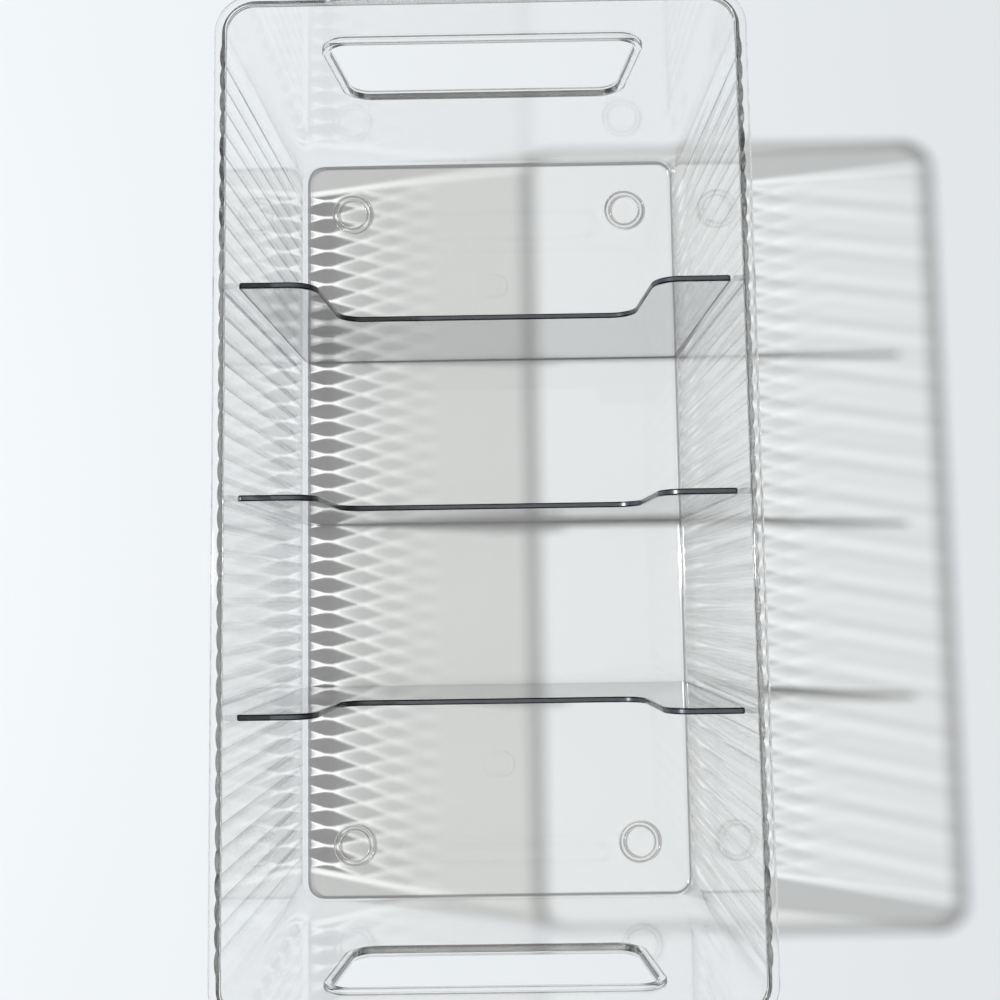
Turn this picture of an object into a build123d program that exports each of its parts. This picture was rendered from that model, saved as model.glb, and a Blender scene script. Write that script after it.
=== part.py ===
from build123d import *
import math
import os

# A clear moulded storage bin with fluted long walls, two hand-holds and three lift-out dividers.
# X runs across the bin, Y along it, and the ring feet stand on Z = 0.

# Overall size, over the rim and down to the feet
rim_length = 321.0
rim_width = 170.0
bin_height = 136.0

# Rim flange: breadth is counted from the inner wall face to the outer edge
rim_breadth = 3.9
rim_depth = 3.2
rim_top_radius = 1.3
rim_under_chamfer = 0.8
rim_inner_radius = 0.7

# Walls and floor, with the draft of each wall in degrees
end_wall = 2.3
side_wall = 1.7
floor_thickness = 2.2
draft_angle = 0.7
inside_corner_radius = 9.0
floor_fillet = 1.2
bottom_edge_radius = 4.0

# Flutes on the outside of the long walls, bulging outward from the plain side wall.
# Their lower ends are rounder than the bottom edge by the run-out.
flute_count = 39
flute_rise = 0.57
flute_end_margin = 3.5
flute_runout = 2.0

# Hand-holds: one opening through each end wall, wider at the top
hand_hold_top_width = 107.0
hand_hold_bottom_width = 98.0
hand_hold_height = 40.4
hand_hold_below_rim = 26.3
hand_hold_top_radius = 6.5
hand_hold_bottom_radius = 7.0
hand_hold_edge_chamfer = 0.9

# Ring feet under the floor
foot_height = 1.4
foot_outer_diameter = 17.0
foot_inner_diameter = 12.0
foot_spacing_across = 118.0
foot_spacing_along = 268.4
foot_edge_chamfer = 0.4

# Dividers: flat plates with a raised ear at each end and a lower middle
divider_spacing = 69.7
divider_thickness = 2.0
divider_height = 116.5
divider_side_clearance = 0.5
divider_corner_clearance = 1.0
ear_tip_radius = 1.2
notch_depth = 46.8
notch_top_width = 111.4
notch_bottom_width = 106.4
ogee_radius = 8.5
divider_edge_chamfer = 0.4

# One overrun for every cut that passes right through
overrun = 5.0

# Levels and sizes that follow from the values above
floor_level = foot_height + floor_thickness
slope = math.tan(math.radians(draft_angle))
inside_length = rim_length - 2 * rim_breadth
inside_width = rim_width - 2 * rim_breadth


def inset_at(height):
    """How far a drafted wall stands inside its place at the rim."""
    return (bin_height - height) * slope


def inside_plan(height, grow_across=0.0, grow_along=0.0, grow_corner=0.0):
    """Width, length and corner radius of the inside at a height, grown outward where asked."""
    inset = inset_at(height)
    width = inside_width + 2 * (grow_across - inset)
    length = inside_length + 2 * (grow_along - inset)
    return width, length, inside_corner_radius + grow_corner - inset


# Hollow of the bin, with its rounded floor edge
with BuildPart() as hollow:
    for level in (floor_level, bin_height + overrun):
        with BuildSketch(Plane.XY.offset(level)):
            RectangleRounded(*inside_plan(level))
    loft(ruled=True)
    fillet(hollow.edges().group_by(Axis.Z)[0], radius=floor_fillet)

# Rim flange, solid here and opened by the hollow later
with BuildPart() as rim:
    with BuildSketch(Plane.XY.offset(bin_height - rim_depth)):
        RectangleRounded(rim_width, rim_length, inside_corner_radius + rim_breadth)
    extrude(amount=rim_depth)
    fillet(rim.edges().group_by(Axis.Z)[-1], radius=rim_top_radius)
    chamfer(rim.edges().group_by(Axis.Z)[0], length=rim_under_chamfer)

# Flutes of the right-hand wall, running out into the rounded bottom edge
straight_length = inside_plan(floor_level)[1] - 2 * inside_plan(floor_level)[2]
flute_field = straight_length - 2 * flute_end_margin
flute_pitch = flute_field / flute_count
flute_root = inside_plan(foot_height, side_wall)[0] / 2
flute_run = bin_height - rim_depth / 2 - foot_height
across_wall = Plane(origin=(flute_root, 0, foot_height), x_dir=(1, 0, -slope), z_dir=(slope, 0, 1))
with BuildPart() as flutes:
    with BuildSketch(across_wall):
        with BuildLine():
            for number in range(flute_count):
                near = number * flute_pitch - flute_field / 2
                SagittaArc((0, near), (0, near + flute_pitch), -flute_rise)
            Polyline(
                (0, flute_field / 2),
                (-side_wall / 2, flute_field / 2),
                (-side_wall / 2, -flute_field / 2),
                (0, -flute_field / 2),
            )
        make_face()
    extrude(amount=flute_run)
    crest = flute_root + flute_rise
    with BuildSketch(Plane.XZ) as side_view:
        Polygon(
            (0, foot_height),
            (crest, foot_height),
            (crest + (bin_height - foot_height) * slope, bin_height),
            (0, bin_height),
            align=None,
        )
        lower_outside = side_view.vertices().group_by(Axis.Y)[0].sort_by(Axis.X)[-1]
        fillet(lower_outside, radius=bottom_edge_radius + flute_runout)
    extrude(amount=rim_length, both=True, mode=Mode.INTERSECT)

# The bin
outer_corner_grow = (side_wall + end_wall) / 2
with BuildPart() as storage_bin:
    for level in (foot_height, bin_height - rim_depth / 2):
        with BuildSketch(Plane.XY.offset(level)):
            RectangleRounded(*inside_plan(level, side_wall, end_wall, outer_corner_grow))
    loft(ruled=True)
    fillet(storage_bin.edges().group_by(Axis.Z)[0], radius=bottom_edge_radius)
    add(flutes.part)
    mirror(flutes.part, about=Plane.YZ)
    add(rim.part)
    add(hollow.part, mode=Mode.SUBTRACT)
    fillet(storage_bin.faces().sort_by(Axis.Z)[-1].inner_wires()[0].edges(), radius=rim_inner_radius)

    # Hand-holds, cut along the bin through both end walls
    hand_hold_top = bin_height - hand_hold_below_rim
    hand_hold_bottom = hand_hold_top - hand_hold_height
    with BuildSketch(Plane.XZ) as hand_hold:
        Polygon(
            (-hand_hold_bottom_width / 2, hand_hold_bottom),
            (hand_hold_bottom_width / 2, hand_hold_bottom),
            (hand_hold_top_width / 2, hand_hold_top),
            (-hand_hold_top_width / 2, hand_hold_top),
            align=None,
        )
        fillet(hand_hold.vertices().group_by(Axis.Y)[0], radius=hand_hold_bottom_radius)
        fillet(hand_hold.vertices().group_by(Axis.Y)[-1], radius=hand_hold_top_radius)
    extrude(amount=rim_length, both=True, mode=Mode.SUBTRACT)
    chamfer(storage_bin.edges(Select.LAST).filter_by(Axis.Y, reverse=True), length=hand_hold_edge_chamfer)

    # Ring feet
    with BuildSketch(Plane.XY):
        with GridLocations(foot_spacing_across, foot_spacing_along, 2, 2):
            Circle(foot_outer_diameter / 2)
            Circle(foot_inner_diameter / 2, mode=Mode.SUBTRACT)
    extrude(amount=foot_height)
    chamfer(storage_bin.edges().group_by(Axis.Z)[0], length=foot_edge_chamfer)

os.makedirs("parts", exist_ok=True)
storage_bin.part.label = "bin"
export_step(storage_bin.part, "parts/bin.step")

# Dividers, each standing on the floor with a small clearance to the drafted long walls
divider_foot = inside_plan(floor_level)[0] / 2 - divider_side_clearance
divider_top = floor_level + divider_height
divider_head = inside_plan(divider_top)[0] / 2 - divider_side_clearance
notch_level = divider_top - notch_depth
divider_places = {
    "rear_divider": divider_spacing,
    "middle_divider": 0,
    "front_divider": -divider_spacing,
}
for name, place in divider_places.items():
    with BuildPart() as divider:
        with BuildSketch(Plane.XZ.offset(-place)) as outline:
            Polygon(
                (-divider_foot, floor_level),
                (divider_foot, floor_level),
                (divider_head, divider_top),
                (notch_top_width / 2, divider_top),
                (notch_bottom_width / 2, notch_level),
                (-notch_bottom_width / 2, notch_level),
                (-notch_top_width / 2, divider_top),
                (-divider_head, divider_top),
                align=None,
            )
            fillet(outline.vertices().group_by(Axis.Y)[1], radius=ogee_radius)
            fillet(outline.vertices().group_by(Axis.Y)[0], radius=floor_fillet + divider_corner_clearance)
            ear_tops = outline.vertices().group_by(Axis.Y)[-1].sort_by(Axis.X)
            fillet([ear_tops[0], ear_tops[-1]], radius=ear_tip_radius)
            ear_tops = outline.vertices().group_by(Axis.Y)[-1].sort_by(Axis.X)
            fillet(ear_tops[1:-1], radius=ogee_radius)
        extrude(amount=divider_thickness / 2, both=True)
        broad_faces = divider.faces().sort_by(Axis.Y)
        chamfer(broad_faces[0].edges() + broad_faces[-1].edges(), length=divider_edge_chamfer)
    divider.part.label = name
    export_step(divider.part, f"parts/{name}.step")
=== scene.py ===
import math
from functools import partial

import bmesh
import bpy
from mathutils import Matrix, Vector
from mathutils.geometry import delaunay_2d_cdt


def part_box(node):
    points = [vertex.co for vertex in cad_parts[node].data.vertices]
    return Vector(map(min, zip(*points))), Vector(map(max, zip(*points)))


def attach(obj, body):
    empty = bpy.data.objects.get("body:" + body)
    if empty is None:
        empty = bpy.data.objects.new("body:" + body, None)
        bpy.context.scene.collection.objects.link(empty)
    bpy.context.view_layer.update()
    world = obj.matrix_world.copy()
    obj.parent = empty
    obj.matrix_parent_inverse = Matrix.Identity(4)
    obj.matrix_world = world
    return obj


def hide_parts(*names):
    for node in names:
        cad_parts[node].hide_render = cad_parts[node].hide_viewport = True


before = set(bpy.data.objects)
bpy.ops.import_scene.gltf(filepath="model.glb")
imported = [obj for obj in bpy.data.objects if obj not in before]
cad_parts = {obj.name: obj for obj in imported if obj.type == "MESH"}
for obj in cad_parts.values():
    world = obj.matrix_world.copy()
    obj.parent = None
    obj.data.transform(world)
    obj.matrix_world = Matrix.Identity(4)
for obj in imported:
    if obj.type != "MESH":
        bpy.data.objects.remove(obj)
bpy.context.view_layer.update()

# A clear moulded bin with fluted long walls and three clear lift-out plates, as fine meshes.
# Lengths are in metres. X runs across the bin, Y along it, and the ring feet stand on Z = 0.
MM = 0.001

# Overall size, from the frame
RIM_HALF_WIDTH, RIM_HALF_LENGTH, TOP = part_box("bin")[1]

# Rim flange
RIM_BREADTH = 3.9 * MM
RIM_DEPTH = 3.2 * MM
RIM_TOP_RADIUS = 1.3 * MM
RIM_UNDER_RADIUS = 0.8 * MM
RIM_INNER_RADIUS = 0.7 * MM

# Walls and floor
END_WALL = 2.3 * MM
SIDE_WALL = 1.7 * MM
FLOOR_THICKNESS = 2.2 * MM
FOOT_HEIGHT = 1.4 * MM
FLOOR = FOOT_HEIGHT + FLOOR_THICKNESS
DRAFT = math.radians(0.7)
SLOPE = math.tan(DRAFT)
CORNER_RADIUS = 9.0 * MM
FLOOR_FILLET = 0.8 * MM
BOTTOM_RADIUS = 4.0 * MM

# Flutes on the outside of the long walls
FLUTE_COUNT = 39
FLUTE_RISE = 0.57 * MM
FLUTE_END_MARGIN = 3.5 * MM
FLUTE_RUNOUT = 2.0 * MM
FLUTE_VALLEY_RADIUS = 1.2 * MM

# Hand-holds, each edged with a bead that stands proud of both faces of the wall
HOLD_TOP_WIDTH = 107.0 * MM
HOLD_BOTTOM_WIDTH = 98.0 * MM
HOLD_HEIGHT = 40.4 * MM
HOLD_BELOW_RIM = 26.3 * MM
HOLD_TOP_RADIUS = 6.5 * MM
HOLD_BOTTOM_RADIUS = 7.0 * MM
HOLD_BEAD_PROUD = 0.75 * MM
HOLD_BEAD_WIDTH = 2.8 * MM
HOLD_BEAD_RADIUS = 0.8 * MM
HOLD_BACK_RADIUS = 0.6 * MM

# Ring feet, and the shallow round marks of the ejector pins on the floor's middle line
FOOT_OUTER_RADIUS = 8.5 * MM
FOOT_INNER_RADIUS = 6.0 * MM
FOOT_ACROSS = 59.0 * MM
FOOT_ALONG = 134.2 * MM
FOOT_EDGE_RADIUS = 1.2 * MM
MARK_RADIUS = 5.25 * MM
MARK_STEP = 0.15 * MM
MARK_DEPTH = 0.1 * MM
MARK_PLACES = (-101.6 * MM, -2.0 * MM, 101.6 * MM)

# Dividers
DIVIDER_HEIGHT = 116.5 * MM
DIVIDER_SIDE_CLEARANCE = 0.5 * MM
DIVIDER_FOOT_RADIUS = 2.2 * MM
EAR_TIP_RADIUS = 1.2 * MM
NOTCH_DEPTH = 46.8 * MM
NOTCH_TOP_WIDTH = 111.4 * MM
NOTCH_BOTTOM_WIDTH = 106.4 * MM
OGEE_RADIUS = 8.5 * MM
DIVIDER_EDGE_RADIUS = 0.45 * MM
CONTACT_GAP = 0.03 * MM

# How finely curves are cut, and how faces are shaded and filled
FLUTE_STEPS = 10
VALLEY_STEPS = 2
CORNER_STEPS = 20
END_STEPS = 12
EDGE_STEPS = 6
BOTTOM_STEPS = 16
CIRCLE_STEPS = 72
ARC_STEPS = 12
SHARP_ANGLE = math.radians(25)
FACE_AREA_WEIGHT = 100
INSIDE_CONSTRAINTS = 1
CDT_TOLERANCE = 1e-8

# Core rectangles: the corner arcs of a wall are struck from the corners of these
CORE_X = RIM_HALF_WIDTH - RIM_BREADTH - CORNER_RADIUS
CORE_Y = RIM_HALF_LENGTH - RIM_BREADTH - CORNER_RADIUS
MEAN_WALL = (SIDE_WALL + END_WALL) / 2
OUTER_CORE_X = CORE_X + SIDE_WALL - MEAN_WALL
OUTER_CORE_Y = CORE_Y + END_WALL - MEAN_WALL

# Shape of a flute: an arc as far as its flank, then the rounded valley to the next one
FLUTE_FIELD = 2 * (CORE_Y - FLUTE_END_MARGIN)
FLUTE_PITCH = FLUTE_FIELD / FLUTE_COUNT
FLUTE_RADIUS = (FLUTE_PITCH ** 2 / 4 + FLUTE_RISE ** 2) / (2 * FLUTE_RISE)
VALLEY_REACH = FLUTE_RADIUS + FLUTE_VALLEY_RADIUS
FLUTE_FLANK = FLUTE_PITCH / 2 * FLUTE_RADIUS / VALLEY_REACH
VALLEY_CENTRE = math.sqrt(VALLEY_REACH ** 2 - FLUTE_PITCH ** 2 / 4) - FLUTE_RADIUS + FLUTE_RISE

# Lamp light behind the flutes. The focus is measured along the light, and bands in flute pitches.
FLUTE_FOCUS = 21.3 * MM
NARROWEST_BAND = 0.12
CONVERGING_BAND = 0.8
WIDEST_BAND = 4.0
BRIGHTEST_BAND = 2.2
BAND_EDGE_SHARE = 0.4
BAND_EDGE_POWER = 7
NEIGHBOURS = 2
LATTICE_FADE = 4.5
RIGHT_LATTICE = 0.55

# Ripples and broader swells in the light beyond the right-hand wall, and streaks beyond the last flutes
RIPPLE = 0.1
RIPPLE_SLANT = 0.082
SWELL = 0.09
SWELL_PITCH = 1.7
STREAK_LEAD = 2.5 * MM
STREAK_WIDTH = 3.0 * MM
STREAK_SLANT = 0.05
RIGHT_STREAK_SLANT = 0.035
STREAK_GAIN = 0.85

# Share of lamp light that passes one face, and what walls, corners, rim and low edges let by of that.
# A low edge counts as curved where its normal's height lies between the steepest and the flattest.
FACE_PASS = 0.97
PASS_TINT = (1.0, 0.995, 0.978)
LEFT_WALL_PASS = 0.74
RIGHT_WALL_PASS = 0.97
CORNER_PASS = 0.54
RIM_PASS = 0.4
LOW_EDGE_PASS = 0.35
FLATTEST_EDGE = 0.97
STEEPEST_EDGE = 0.1

# Plastics: depth of the grey cast, its tint, and the least and most roughness that rub marks leave
PLASTIC_IOR = 1.57
CLEAR = (1, 1, 1, 1)
BIN_DENSITY = 8.0
BIN_TINT = (0.80, 0.805, 0.80, 1)
BIN_DULLNESS = (0.04, 0.09)
PLATE_DENSITY = 160.0
PLATE_TINT = (0.20, 0.21, 0.22, 1)
PLATE_DULLNESS = (0.01, 0.04)
RUB_SCALE = 90.0
RUB_DETAIL = 6.0
RUB_LEAST = 0.45
RUB_MOST = 0.8
EDGE_DARK = (0.05, 0.054, 0.065, 1)
EDGE_PALE = (0.09, 0.096, 0.112, 1)
EDGE_ROUGHNESS = 0.25
MOTTLE_SCALE = 220.0
MOTTLE_DETAIL = 4.0

# Stage: the pale table, which turns dark beyond the bin for light and reflections
FLOOR_REACH = 4.0
TABLE_GAP = 0.05 * MM
FLOOR_COLOUR = (0.93, 0.94, 0.95, 1)
FLOOR_ROUGHNESS = 0.6
FLOOR_GLOSS = 0.2
BEYOND_COLOUR = (0.08, 0.08, 0.09, 1)
TABLE_REACH = 0.35
BEYOND_REACH = 0.65

# Room, lamp and how often light may turn
ROOM_COLOUR = (1.0, 0.995, 0.98, 1)
WALLS_LEVEL = 0.06
CEILING_LEVEL = 0.9
CEILING_FOCUS = 6
BACKDROP_LEVEL = 0.9
KEY_COLOUR = (0.93, 0.97, 1.0)
KEY_POWER = 104.0
KEY_SIZE = 150 * MM
KEY_PLACE = (-2110 * MM, 88 * MM, 2850 * MM)
LIGHT_TURNS = 64
CLEAR_TURNS = 32

# Camera, fitted to the photograph
SENSOR = 36.0
CAMERA_REACH = 1.139
CAMERA_NEAR = 0.01
CAMERA_TURNS = (("Z", math.radians(0.862)), ("X", math.radians(-5.034)), ("Y", math.radians(-0.302)))
CAMERA_PLACE = (5.9 * MM, -33.9 * MM, 483.8 * MM)


class Skin:
    """Collects the points and faces of one closed mesh."""

    def __init__(self):
        self.points = []
        self.faces = []
        self.edge_faces = set()

    def loop(self, points):
        first = len(self.points)
        self.points.extend(points)
        return list(range(first, len(self.points)))

    def bridge(self, near, far, skip=()):
        """Quads between two closed loops of equal length, leaving out the spans named in skip."""
        for here in range(len(near)):
            if here in skip:
                continue
            after = (here + 1) % len(near)
            self.faces.append((near[here], near[after], far[after], far[here]))

    def bridge_all(self, loops):
        for near, far in zip(loops, loops[1:]):
            self.bridge(near, far)

    def bridge_edge(self, loops, spans=None):
        """Bridged loops whose faces, or those of the named spans alone, take the second material."""
        for near, far in zip(loops, loops[1:]):
            first = len(self.faces)
            self.bridge(near, far)
            self.edge_faces.update(first + span for span in spans or range(len(near)))

    def fill(self, outline, holes, flat):
        """Triangles over a plane region with holes; flat gives a point's two coordinates there."""
        order, edges, owner = [], [], []
        for number, loop in enumerate([outline, *holes]):
            first = len(order)
            edges += [(first + k, first + (k + 1) % len(loop)) for k in range(len(loop))]
            order += loop
            owner += [number] * len(loop)
        places = [Vector(flat(self.points[index])) for index in order]
        made = delaunay_2d_cdt(places, edges, [], INSIDE_CONSTRAINTS, CDT_TOLERANCE)
        _, _, triangles, sources, *_ = made
        for triangle in triangles:
            corners = [sources[corner][0] for corner in triangle]
            owners = {owner[corner] for corner in corners}
            if len(owners) > 1 or owners == {0}:
                self.faces.append(tuple(order[corner] for corner in corners))

    def cap(self, loop):
        self.faces.append(tuple(loop))

    def finish(self, name, *materials):
        """The closed mesh as an object, with smooth curves and crisp creases."""
        mesh = bpy.data.meshes.new(name)
        mesh.from_pydata(self.points, [], self.faces)
        for material in materials:
            mesh.materials.append(material)
        for number in self.edge_faces:
            mesh.polygons[number].material_index = 1
        mesh.validate()
        obj = bpy.data.objects.new(name, mesh)
        bpy.context.scene.collection.objects.link(obj)
        turn_outward(mesh)
        mesh.shade_smooth()
        mesh.set_sharp_from_angle(angle=SHARP_ANGLE)
        weighted = obj.modifiers.new("even_shading", "WEIGHTED_NORMAL")
        weighted.keep_sharp = True
        weighted.weight = FACE_AREA_WEIGHT
        return obj


def turn_outward(mesh):
    """Makes all faces of a closed mesh point out."""
    working = bmesh.new()
    working.from_mesh(mesh)
    bmesh.ops.recalc_face_normals(working, faces=working.faces)
    working.to_mesh(mesh)
    working.free()


def seen_from_front(point):
    return point[0], point[2]


def seen_from_above(point):
    return point[0], point[1]


def arc(centre, radius, start, end, steps):
    """Points of an arc in a section, as pairs of reach and height, with angles in radians."""
    return [
        (centre[0] + radius * math.cos(start + (end - start) * k / steps),
         centre[1] + radius * math.sin(start + (end - start) * k / steps))
        for k in range(steps + 1)
    ]


def rounded_outline(corners, grow=0.0):
    """A closed outline, counter-clockwise, with rounded corners, grown outward where asked."""
    points = []
    for number, (corner, radius) in enumerate(corners):
        here = Vector(corner)
        way_in = (here - Vector(corners[number - 1][0])).normalized()
        way_out = (Vector(corners[(number + 1) % len(corners)][0]) - here).normalized()
        turn = math.atan2(way_in.cross(way_out), way_in.dot(way_out))
        side = math.copysign(1, turn)
        left = Vector((-way_in.y, way_in.x))
        centre = here - way_in * radius * math.tan(abs(turn) / 2) + left * side * radius
        reach = radius + side * grow
        start = math.atan2(-side * left.y, -side * left.x)
        for k in range(ARC_STEPS + 1):
            angle = start + turn * k / ARC_STEPS
            points.append(centre + Vector((math.cos(angle), math.sin(angle))) * reach)
    return points


def circle(centre, radius, height):
    turns = [math.tau * k / CIRCLE_STEPS for k in range(CIRCLE_STEPS)]
    return [(centre[0] + radius * math.cos(t), centre[1] + radius * math.sin(t), height) for t in turns]


def reach_inside(height):
    """Reach of the inner wall face from the core rectangle at a height."""
    return CORNER_RADIUS - (TOP - height) * SLOPE


def flute_bulge(off):
    """Bulge of a flute at a place off its middle, with the valley to the next flute rounded."""
    if abs(off) < FLUTE_FLANK:
        return math.sqrt(FLUTE_RADIUS ** 2 - off ** 2) - FLUTE_RADIUS + FLUTE_RISE
    return VALLEY_CENTRE - math.sqrt(FLUTE_VALLEY_RADIUS ** 2 - (FLUTE_PITCH / 2 - abs(off)) ** 2)


def flute_stations():
    """Places along a long wall, as shares of the core's half-length, with the flute's bulge at each."""
    half = FLUTE_PITCH / 2
    valley = [(half - FLUTE_FLANK) * k / VALLEY_STEPS for k in range(VALLEY_STEPS)]
    offs = [step - half for step in valley]
    offs += [FLUTE_FLANK * (2 * k / FLUTE_STEPS - 1) for k in range(FLUTE_STEPS + 1)]
    offs += [half - step for step in reversed(valley[1:])]
    places = [(-1.0, 0.0)]
    for number in range(FLUTE_COUNT):
        middle = (number + 0.5) * FLUTE_PITCH - FLUTE_FIELD / 2
        places += [((middle + off) / OUTER_CORE_Y, flute_bulge(off)) for off in offs]
    places.append((FLUTE_FIELD / 2 / OUTER_CORE_Y, flute_bulge(half)))
    return places


def plan_stations():
    """Places round the bin: shares of the core, direction, flute bulge, and whether on an end wall."""
    side = flute_stations()
    quarter = [math.pi / 2 * k / CORNER_STEPS for k in range(CORNER_STEPS)]
    places = []
    for start, across in ((0.0, 1), (math.pi, -1)):
        facing = (across, 0.0)
        places += [(across, across * share, facing, bulge, False) for share, bulge in side]
        for turn in quarter:
            angle = start + turn
            places.append((across, across, (math.cos(angle), math.sin(angle)), 0.0, False))
        for k in range(END_STEPS):
            places.append((across * (1 - 2 * k / END_STEPS), across, (0.0, across), 0.0, True))
        for turn in quarter:
            angle = start + math.pi / 2 + turn
            places.append((-across, across, (math.cos(angle), math.sin(angle)), 0.0, False))
    return places


STATIONS = plan_stations()


def wall_loop(core, reach_of, height):
    """One loop round the bin at a height; its reach may follow the flute's bulge."""
    points = []
    for across, along, facing, bulge, _ in STATIONS:
        reach = reach_of(bulge)
        x = core[0] * across + facing[0] * reach
        y = core[1] * along + facing[1] * reach
        points.append((x, y, height))
    return points


def plain_loop(reach, height):
    """A loop round the inside or the rim, which the flutes don't shape."""
    return wall_loop((CORE_X, CORE_Y), lambda bulge: reach, height)


def outer_loop(height):
    """A loop round the outside, which the flutes shape."""
    return wall_loop((OUTER_CORE_X, OUTER_CORE_Y), lambda bulge: outer_reach(height, bulge), height)


def end_spans():
    """For each end of the bin, the stations of its flat wall, from corner to corner."""
    marks = [k for k, (*_, on_end) in enumerate(STATIONS) if on_end]
    halves = [marks[:END_STEPS], marks[END_STEPS:]]
    return [half + [half[-1] + 1] for half in halves]


def inner_section():
    """Section of the inside, from the floor up over the rim to its underside, as reach and height."""
    fillet_height = FLOOR + FLOOR_FILLET
    touch = fillet_height - FLOOR_FILLET * math.sin(DRAFT)
    fillet_centre = (reach_inside(touch) - FLOOR_FILLET * math.cos(DRAFT), fillet_height)
    low = arc(fillet_centre, FLOOR_FILLET, -math.pi / 2, -DRAFT, EDGE_STEPS)
    edge_height = TOP - RIM_INNER_RADIUS
    touch = edge_height + RIM_INNER_RADIUS * math.sin(DRAFT)
    edge_centre = (reach_inside(touch) + RIM_INNER_RADIUS * math.cos(DRAFT), edge_height)
    edge = arc(edge_centre, RIM_INNER_RADIUS, math.pi - DRAFT, math.pi / 2, EDGE_STEPS)
    # The flat top is split over the wall's outer face
    rim_reach = CORNER_RADIUS + RIM_BREADTH
    over_wall = (CORNER_RADIUS + SIDE_WALL + FLUTE_RISE / 2, TOP)
    top_centre = (rim_reach - RIM_TOP_RADIUS, TOP - RIM_TOP_RADIUS)
    top = [over_wall] + arc(top_centre, RIM_TOP_RADIUS, math.pi / 2, 0, EDGE_STEPS)
    under_centre = (rim_reach - RIM_UNDER_RADIUS, TOP - RIM_DEPTH + RIM_UNDER_RADIUS)
    under = arc(under_centre, RIM_UNDER_RADIUS, 0, -math.pi / 2, EDGE_STEPS)
    return low, edge, top, under


def outer_heights():
    """Heights of the loops on the outside, from under the rim down round the bottom edge."""
    runout = BOTTOM_RADIUS + FLUTE_RUNOUT
    turns = [math.pi / 2 * k / BOTTOM_STEPS for k in range(BOTTOM_STEPS + 1)]
    return [TOP - RIM_DEPTH] + [FOOT_HEIGHT + runout * (1 - math.sin(turn)) for turn in turns]


def outer_reach(height, bulge):
    """Reach of the outer wall face, with its rounded bottom edge and the flutes that run into it."""
    wall = reach_inside(height) + MEAN_WALL
    rise = height - FOOT_HEIGHT
    shell = wall - rounding(rise, BOTTOM_RADIUS)
    flute = min(wall + bulge, wall + FLUTE_RISE - rounding(rise, BOTTOM_RADIUS + FLUTE_RUNOUT))
    return max(shell, flute)


def rounding(rise, radius):
    """How far a rounded bottom edge stands back from its wall at a height above the bottom."""
    below = max(radius - rise, 0.0)
    return radius - math.sqrt(max(radius ** 2 - below ** 2, 0.0))


def hand_hold_corners():
    top = TOP - HOLD_BELOW_RIM
    bottom = top - HOLD_HEIGHT
    return [
        ((-HOLD_BOTTOM_WIDTH / 2, bottom), HOLD_BOTTOM_RADIUS),
        ((HOLD_BOTTOM_WIDTH / 2, bottom), HOLD_BOTTOM_RADIUS),
        ((HOLD_TOP_WIDTH / 2, top), HOLD_TOP_RADIUS),
        ((-HOLD_TOP_WIDTH / 2, top), HOLD_TOP_RADIUS),
    ]


def hand_hold_section():
    """Section through the hand-hold's edge: growth of the outline and depth into the wall."""
    back = (HOLD_BEAD_WIDTH - HOLD_BACK_RADIUS, HOLD_BACK_RADIUS - HOLD_BEAD_PROUD)
    edge = (HOLD_BEAD_RADIUS, HOLD_BEAD_RADIUS - HOLD_BEAD_PROUD)
    near = [(HOLD_BEAD_WIDTH, 0.0)]
    near += arc(back, HOLD_BACK_RADIUS, 0, -math.pi / 2, EDGE_STEPS)
    near += arc(edge, HOLD_BEAD_RADIUS, -math.pi / 2, -math.pi, EDGE_STEPS)
    return near + [(grow, END_WALL - depth) for grow, depth in reversed(near)]


def add_hand_hold(skin, sign):
    """The edge of the hand-hold in one end wall; returns its loops from the inner face to the outer."""
    hold = []
    for grow, depth in hand_hold_section():
        outline = rounded_outline(hand_hold_corners(), grow)
        along = CORE_Y + depth
        hold.append(skin.loop([(p.x, sign * (along + reach_inside(p.y)), p.y) for p in outline]))
    skin.bridge_all(hold)
    return hold


def add_marks(skin):
    """The shallow round marks in the floor; returns the loops where they meet it."""
    marks = []
    for along in MARK_PLACES:
        edge = skin.loop(circle((0, along), MARK_RADIUS, FLOOR))
        sunk = skin.loop(circle((0, along), MARK_RADIUS - MARK_STEP, FLOOR - MARK_DEPTH))
        skin.bridge(edge, sunk)
        skin.cap(sunk)
        marks.append(edge)
    return marks


def add_feet(skin):
    """The ring feet under the floor; returns the loops where they meet it."""
    edge = FOOT_EDGE_RADIUS
    section = [(FOOT_OUTER_RADIUS, FOOT_HEIGHT)]
    section += arc((FOOT_OUTER_RADIUS - edge, edge), edge, 0, -math.pi / 2, EDGE_STEPS)
    section += arc((FOOT_INNER_RADIUS + edge, edge), edge, -math.pi / 2, -math.pi, EDGE_STEPS)
    section += [(FOOT_INNER_RADIUS, FOOT_HEIGHT)]
    feet = []
    for across in (-FOOT_ACROSS, FOOT_ACROSS):
        for along in (-FOOT_ALONG, FOOT_ALONG):
            rings = [skin.loop(circle((across, along), *place)) for place in section]
            skin.bridge_all(rings)
            skin.cap(rings[-1])
            feet.append(rings[0])
    return feet


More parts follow.
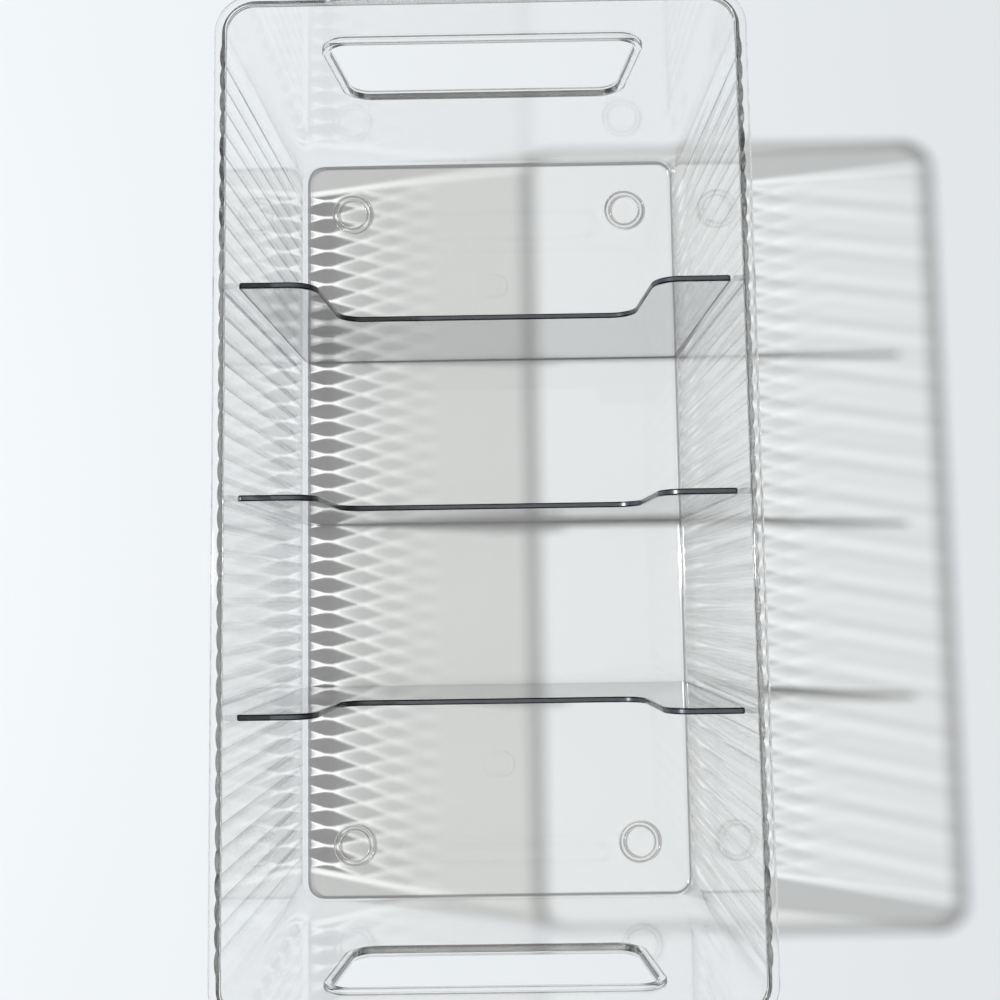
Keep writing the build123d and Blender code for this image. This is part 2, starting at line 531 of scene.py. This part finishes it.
def build_bin(*materials):
    skin = Skin()
    inside, lip, brim, under = [
        [skin.loop(plain_loop(*place)) for place in stretch] for stretch in inner_section()
    ]
    outside = [skin.loop(outer_loop(height)) for height in outer_heights()]
    spans = end_spans()
    skip = {k for span in spans for k in span[:-1]}
    skin.bridge_all(inside)
    skin.bridge(inside[-1], lip[0], skip)
    skin.bridge_all(lip + brim + under + outside[:1])
    skin.bridge(outside[0], outside[1], skip)
    skin.bridge_all(outside[1:])
    for span, sign in zip(spans, (1, -1)):
        hold = add_hand_hold(skin, sign)
        inner_edge = [inside[-1][k] for k in span] + [lip[0][k] for k in reversed(span)]
        outer_edge = [outside[1][k] for k in span] + [outside[0][k] for k in reversed(span)]
        skin.fill(inner_edge, [hold[0]], seen_from_front)
        skin.fill(outer_edge, [hold[-1]], seen_from_front)
    skin.fill(inside[0], add_marks(skin), seen_from_above)
    skin.fill(outside[-1], add_feet(skin), seen_from_above)
    return skin.finish("clear_bin", *materials)


def divider_corners():
    foot = FLOOR + CONTACT_GAP
    top = FLOOR + DIVIDER_HEIGHT
    notch = top - NOTCH_DEPTH
    half_foot = CORE_X + reach_inside(FLOOR) - DIVIDER_SIDE_CLEARANCE
    half_head = CORE_X + reach_inside(top) - DIVIDER_SIDE_CLEARANCE
    return [
        ((-half_foot, foot), DIVIDER_FOOT_RADIUS),
        ((half_foot, foot), DIVIDER_FOOT_RADIUS),
        ((half_head, top), EAR_TIP_RADIUS),
        ((NOTCH_TOP_WIDTH / 2, top), OGEE_RADIUS),
        ((NOTCH_BOTTOM_WIDTH / 2, notch), OGEE_RADIUS),
        ((-NOTCH_BOTTOM_WIDTH / 2, notch), OGEE_RADIUS),
        ((-NOTCH_TOP_WIDTH / 2, top), OGEE_RADIUS),
        ((-half_head, top), EAR_TIP_RADIUS),
    ]


def build_divider(node, *materials):
    """A plate whose narrow edge is slate, and on its two upright ends the edge's roundings too."""
    low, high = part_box(node)
    skin = Skin()
    centre = (-DIVIDER_EDGE_RADIUS, DIVIDER_EDGE_RADIUS)
    near = arc(centre, DIVIDER_EDGE_RADIUS, -math.pi / 2, 0, EDGE_STEPS)
    section = [(grow, low.y + depth) for grow, depth in near]
    section += [(grow, high.y - depth) for grow, depth in reversed(near)]
    loops = []
    for grow, along in section:
        outline = rounded_outline(divider_corners(), grow)
        loops.append(skin.loop([(p.x, along, p.y) for p in outline]))
    middle = len(near)
    corner_points = ARC_STEPS + 1
    upright_ends = (2 * corner_points - 1, len(loops[0]) - 1)
    skin.bridge_edge(loops[:middle], upright_ends)
    skin.bridge_edge(loops[middle - 1:middle + 1])
    skin.bridge_edge(loops[middle:], upright_ends)
    skin.fill(loops[0], [], seen_from_front)
    skin.fill(loops[-1], [], seen_from_front)
    return skin.finish("clear_" + node, *materials)


def arithmetic(tree, operation, *values):
    """One step of arithmetic in a material, on numbers and on the outputs of other nodes."""
    node = tree.nodes.new("ShaderNodeMath")
    node.operation = operation
    for socket, value in zip(node.inputs, values):
        if isinstance(value, (int, float)):
            socket.default_value = value
        else:
            tree.links.new(value, socket)
    return node.outputs["Value"]


def flute_lattice(tree, along, distance, right):
    """Lamp light behind the flutes: each is a lens that gathers its band to a line, then spreads it."""
    step = partial(arithmetic, tree)
    pitches = step("ADD", step("DIVIDE", along, FLUTE_PITCH), FLUTE_COUNT / 2)
    phase = step("SUBTRACT", step("FRACT", pitches), 0.5)
    past = step("SUBTRACT", step("DIVIDE", distance, FLUTE_FOCUS), 1.0)
    spread = step("MAXIMUM", past, step("MULTIPLY", past, -CONVERGING_BAND))
    band = step("MINIMUM", step("MAXIMUM", spread, NARROWEST_BAND), WIDEST_BAND)
    half_band = step("MULTIPLY", band, 0.5)
    edge_gain = BAND_EDGE_SHARE * (BAND_EDGE_POWER + 1)
    light = 0.0
    for neighbour in range(-NEIGHBOURS, NEIGHBOURS + 1):
        off = step("DIVIDE", step("ABSOLUTE", step("SUBTRACT", phase, neighbour)), half_band)
        edge = step("MULTIPLY", step("POWER", off, BAND_EDGE_POWER), edge_gain)
        profile = step("ADD", edge, 1 - BAND_EDGE_SHARE)
        light = step("MULTIPLY_ADD", step("LESS_THAN", off, 1.0), profile, light)
    light = step("MINIMUM", step("DIVIDE", light, band), BRIGHTEST_BAND)
    fading = step("SUBTRACT", 1.0, step("DIVIDE", past, LATTICE_FADE))
    clear = step("MINIMUM", step("MAXIMUM", fading, 0.0), 1.0)
    strength = step("MULTIPLY_ADD", right, RIGHT_LATTICE - 1.0, 1.0)
    return step("MULTIPLY_ADD", step("MULTIPLY", clear, strength), step("SUBTRACT", light, 1.0), 1.0)


def right_ripple(tree, along, distance, right):
    """Slanting ripples and swells in the lamp light beyond the right-hand wall, nought at the left."""
    step = partial(arithmetic, tree)
    slanted = step("DIVIDE", step("MULTIPLY_ADD", distance, RIPPLE_SLANT, along), FLUTE_PITCH)
    ripple = step("MULTIPLY", step("COSINE", step("MULTIPLY", slanted, math.tau)), RIPPLE)
    swell = step("MULTIPLY", step("COSINE", step("MULTIPLY", slanted, math.tau / SWELL_PITCH)), SWELL)
    return step("MULTIPLY", step("ADD", ripple, swell), right)


def wall_light(tree, along, distance, right):
    """Lamp light behind a long wall: lattice and ripples at the flutes, streak and shade at corners."""
    step = partial(arithmetic, tree)
    lattice = flute_lattice(tree, along, distance, right)
    ripple = right_ripple(tree, along, distance, right)
    share = step("MULTIPLY_ADD", right, RIGHT_WALL_PASS - LEFT_WALL_PASS, LEFT_WALL_PASS)
    behind_flutes = step("MULTIPLY", step("ADD", lattice, ripple), share)
    slant = step("MULTIPLY_ADD", right, RIGHT_STREAK_SLANT - STREAK_SLANT, STREAK_SLANT)
    past_flutes = step("SUBTRACT", step("ABSOLUTE", along), FLUTE_FIELD / 2 - STREAK_LEAD)
    past_flutes = step("SUBTRACT", past_flutes, step("MULTIPLY", slant, distance))
    off = step("SUBTRACT", step("DIVIDE", past_flutes, STREAK_WIDTH / 2), 1.0)
    glow = step("MAXIMUM", step("SUBTRACT", 1.0, step("MULTIPLY", off, off)), 0.0)
    behind_corner = step("MULTIPLY_ADD", glow, STREAK_GAIN, CORNER_PASS)
    fluted = step("LESS_THAN", past_flutes, 0.0)
    return step("MULTIPLY_ADD", fluted, step("SUBTRACT", behind_flutes, behind_corner), behind_corner)


def outer_face(tree, place):
    """One on the outside of the long walls and their rounded corners, nought elsewhere."""
    step = partial(arithmetic, tree)
    across = step("MAXIMUM", step("SUBTRACT", step("ABSOLUTE", place.outputs["X"]), CORE_X), 0.0)
    along = step("MAXIMUM", step("SUBTRACT", step("ABSOLUTE", place.outputs["Y"]), CORE_Y), 0.0)
    reach = step("SQRT", step("ADD", step("MULTIPLY", across, across), step("MULTIPLY", along, along)))
    draft = step("MULTIPLY", step("SUBTRACT", TOP, place.outputs["Z"]), SLOPE)
    outside = step("GREATER_THAN", step("ADD", reach, draft), CORNER_RADIUS + SIDE_WALL / 2)
    return step("MULTIPLY", outside, step("GREATER_THAN", across, 0.0))


def bin_light(tree, where, path):
    """Share of lamp light that passes each face of the bin."""
    step = partial(arithmetic, tree)
    place = tree.nodes.new("ShaderNodeSeparateXYZ")
    tree.links.new(where, place.inputs["Vector"])
    right = step("GREATER_THAN", place.outputs["X"], 0.0)
    lens = wall_light(tree, place.outputs["Y"], path.outputs["Ray Length"], right)
    wall = step("ADD", 1.0, step("MULTIPLY", outer_face(tree, place), step("SUBTRACT", lens, 1.0)))
    rim = step("GREATER_THAN", place.outputs["Z"], TOP - RIM_DEPTH)
    shade = step("SUBTRACT", 1.0, step("MULTIPLY", rim, 1.0 - RIM_PASS))
    facing = tree.nodes.new("ShaderNodeSeparateXYZ")
    tree.links.new(tree.nodes.new("ShaderNodeNewGeometry").outputs["Normal"], facing.inputs["Vector"])
    tilt = step("ABSOLUTE", facing.outputs["Z"])
    not_flat = step("LESS_THAN", tilt, FLATTEST_EDGE)
    curved = step("MULTIPLY", not_flat, step("GREATER_THAN", tilt, STEEPEST_EDGE))
    low = step("MULTIPLY", curved, step("LESS_THAN", place.outputs["Z"], FLOOR + BOTTOM_RADIUS))
    edge = step("SUBTRACT", 1.0, step("MULTIPLY", low, 1.0 - LOW_EDGE_PASS))
    return step("MULTIPLY", step("MULTIPLY", step("MULTIPLY", wall, shade), edge), FACE_PASS)


def clear_plastic(name, density, tint, dullness, light=None):
    """Clear glossy plastic with fine rub marks and a grey cast; light builds the share it lets by."""
    material = bpy.data.materials.new(name)
    material.use_nodes = True
    tree = material.node_tree
    nodes, links = tree.nodes, tree.links
    nodes.clear()
    out = nodes.new("ShaderNodeOutputMaterial")
    glass = nodes.new("ShaderNodeBsdfPrincipled")
    glass.inputs["Base Color"].default_value = CLEAR
    glass.inputs["Transmission Weight"].default_value = 1.0
    glass.inputs["IOR"].default_value = PLASTIC_IOR
    where = nodes.new("ShaderNodeTexCoord").outputs["Object"]
    rub = nodes.new("ShaderNodeTexNoise")
    rub.inputs["Scale"].default_value = RUB_SCALE
    rub.inputs["Detail"].default_value = RUB_DETAIL
    links.new(where, rub.inputs["Vector"])
    dull = nodes.new("ShaderNodeMapRange")
    dull.inputs["From Min"].default_value = RUB_LEAST
    dull.inputs["From Max"].default_value = RUB_MOST
    dull.inputs["To Min"].default_value, dull.inputs["To Max"].default_value = dullness
    links.new(rub.outputs["Fac"], dull.inputs["Value"])
    links.new(dull.outputs["Result"], glass.inputs["Roughness"])
    absorb = nodes.new("ShaderNodeVolumeAbsorption")
    absorb.inputs["Color"].default_value = tint
    absorb.inputs["Density"].default_value = density
    path = nodes.new("ShaderNodeLightPath")
    passing = nodes.new("ShaderNodeBsdfTransparent")
    passing.inputs["Color"].default_value = (*(FACE_PASS * share for share in PASS_TINT), 1)
    if light:
        cast = nodes.new("ShaderNodeVectorMath")
        cast.operation = "SCALE"
        cast.inputs["Vector"].default_value = PASS_TINT
        links.new(light(tree, where, path), cast.inputs["Scale"])
        links.new(cast.outputs["Vector"], passing.inputs["Color"])
    mix = nodes.new("ShaderNodeMixShader")
    links.new(path.outputs["Is Shadow Ray"], mix.inputs[0])
    links.new(glass.outputs["BSDF"], mix.inputs[1])
    links.new(passing.outputs["BSDF"], mix.inputs[2])
    links.new(mix.outputs["Shader"], out.inputs["Surface"])
    links.new(absorb.outputs["Volume"], out.inputs["Volume"])
    return material


def slate_edge(name):
    """Narrow edges of the plates, where the plastic's depth gathers to a faintly mottled slate."""
    material = bpy.data.materials.new(name)
    material.use_nodes = True
    tree = material.node_tree
    shader = tree.nodes["Principled BSDF"]
    shader.inputs["Roughness"].default_value = EDGE_ROUGHNESS
    shader.inputs["IOR"].default_value = PLASTIC_IOR
    mottle = tree.nodes.new("ShaderNodeTexNoise")
    mottle.inputs["Scale"].default_value = MOTTLE_SCALE
    mottle.inputs["Detail"].default_value = MOTTLE_DETAIL
    tree.links.new(tree.nodes.new("ShaderNodeTexCoord").outputs["Object"], mottle.inputs["Vector"])
    tone = tree.nodes.new("ShaderNodeMix")
    tone.data_type = "RGBA"
    tone.inputs["A"].default_value = EDGE_DARK
    tone.inputs["B"].default_value = EDGE_PALE
    tree.links.new(mottle.outputs["Fac"], tone.inputs["Factor"])
    tree.links.new(tone.outputs["Result"], shader.inputs["Base Color"])
    return material


def plain_sight(tree):
    """One for what the camera sees directly or straight through plastic, nought for other rays."""
    path = tree.nodes.new("ShaderNodeLightPath")
    turns = arithmetic(tree, "ADD", path.outputs["Glossy Depth"], path.outputs["Diffuse Depth"])
    unturned = arithmetic(tree, "LESS_THAN", turns, 1)
    through = arithmetic(tree, "MULTIPLY", path.outputs["Is Transmission Ray"], unturned)
    return arithmetic(tree, "MAXIMUM", path.outputs["Is Camera Ray"], through)


def build_stage():
    signs = ((-1, -1), (1, -1), (1, 1), (-1, 1))
    corners = [(x * FLOOR_REACH, y * FLOOR_REACH, -TABLE_GAP) for x, y in signs]
    mesh = bpy.data.meshes.new("floor")
    mesh.from_pydata(corners, [], [(0, 1, 2, 3)])
    floor = bpy.data.objects.new("floor", mesh)
    bpy.context.scene.collection.objects.link(floor)
    material = bpy.data.materials.new("pale_table")
    material.use_nodes = True
    tree = material.node_tree
    shader = tree.nodes["Principled BSDF"]
    shader.inputs["Roughness"].default_value = FLOOR_ROUGHNESS
    shader.inputs["Specular IOR Level"].default_value = FLOOR_GLOSS
    distance = tree.nodes.new("ShaderNodeVectorMath")
    distance.operation = "LENGTH"
    tree.links.new(tree.nodes.new("ShaderNodeTexCoord").outputs["Object"], distance.inputs[0])
    beyond = tree.nodes.new("ShaderNodeMapRange")
    beyond.inputs["From Min"].default_value = TABLE_REACH
    beyond.inputs["From Max"].default_value = BEYOND_REACH
    tree.links.new(distance.outputs["Value"], beyond.inputs["Value"])
    unseen = arithmetic(tree, "SUBTRACT", 1.0, plain_sight(tree))
    dark = arithmetic(tree, "MULTIPLY", beyond.outputs["Result"], unseen)
    colour = tree.nodes.new("ShaderNodeMix")
    colour.data_type = "RGBA"
    colour.inputs["A"].default_value = FLOOR_COLOUR
    colour.inputs["B"].default_value = BEYOND_COLOUR
    tree.links.new(dark, colour.inputs["Factor"])
    tree.links.new(colour.outputs["Result"], shader.inputs["Base Color"])
    mesh.materials.append(material)


def build_room():
    """A dim room that is brightest overhead, with a pale backdrop for what is in plain sight."""
    scene = bpy.context.scene
    scene.world = bpy.data.worlds.new("studio")
    scene.world.use_nodes = True
    scene.world.cycles.sampling_method = "NONE"
    tree = scene.world.node_tree
    place = tree.nodes.new("ShaderNodeSeparateXYZ")
    tree.links.new(tree.nodes.new("ShaderNodeTexCoord").outputs["Generated"], place.inputs["Vector"])
    upward = arithmetic(tree, "MAXIMUM", place.outputs["Z"], 0.0)
    height = arithmetic(tree, "POWER", upward, CEILING_FOCUS)
    level = arithmetic(tree, "MULTIPLY_ADD", height, CEILING_LEVEL - WALLS_LEVEL, WALLS_LEVEL)
    missing = arithmetic(tree, "SUBTRACT", BACKDROP_LEVEL, level)
    level = arithmetic(tree, "MULTIPLY_ADD", plain_sight(tree), missing, level)
    room = tree.nodes["Background"]
    room.inputs["Color"].default_value = ROOM_COLOUR
    tree.links.new(level, room.inputs["Strength"])


def build_lamp():
    """One small lamp up to the left, whose light counts where it falls and isn't scattered again."""
    lamp = bpy.data.lights.new("key", "AREA")
    lamp.shape = "DISK"
    lamp.size = KEY_SIZE
    lamp.energy = KEY_POWER
    lamp.color = KEY_COLOUR
    lamp.use_nodes = True
    path = lamp.node_tree.nodes.new("ShaderNodeLightPath")
    direct = arithmetic(lamp.node_tree, "LESS_THAN", path.outputs["Diffuse Depth"], 1)
    lamp.node_tree.links.new(direct, lamp.node_tree.nodes["Emission"].inputs["Strength"])
    key = bpy.data.objects.new("key", lamp)
    key.visible_camera = False
    bpy.context.scene.collection.objects.link(key)
    key.location = KEY_PLACE
    key.rotation_mode = "QUATERNION"
    key.rotation_quaternion = (-Vector(KEY_PLACE)).to_track_quat("-Z", "Y")


def build_camera():
    data = bpy.data.cameras.new("camera")
    data.sensor_width = SENSOR
    data.lens = SENSOR * CAMERA_REACH
    data.clip_start = CAMERA_NEAR
    camera = bpy.data.objects.new("camera", data)
    bpy.context.scene.collection.objects.link(camera)
    turn = Matrix.Identity(4)
    for axis, angle in CAMERA_TURNS:
        turn = turn @ Matrix.Rotation(angle, 4, axis)
    camera.matrix_world = Matrix.Translation(CAMERA_PLACE) @ turn.inverted()
    bpy.context.scene.camera = camera


moulding = clear_plastic("clear_moulding", BIN_DENSITY, BIN_TINT, BIN_DULLNESS, bin_light)
plate = clear_plastic("clear_plate", PLATE_DENSITY, PLATE_TINT, PLATE_DULLNESS)
plate_edge = slate_edge("clear_plate_edge")

bin_skin = build_bin(moulding)
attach(bin_skin, "bin")
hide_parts("bin")
for node in ("rear_divider", "middle_divider", "front_divider"):
    divider = build_divider(node, plate, plate_edge)
    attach(divider, node)
    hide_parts(node)

build_stage()
build_room()
build_lamp()
build_camera()
scene = bpy.context.scene
scene.view_settings.view_transform = "Standard"
scene.cycles.max_bounces = LIGHT_TURNS
scene.cycles.glossy_bounces = LIGHT_TURNS
scene.cycles.transmission_bounces = LIGHT_TURNS
scene.cycles.transparent_max_bounces = CLEAR_TURNS
scene.cycles.blur_glossy = 0.0
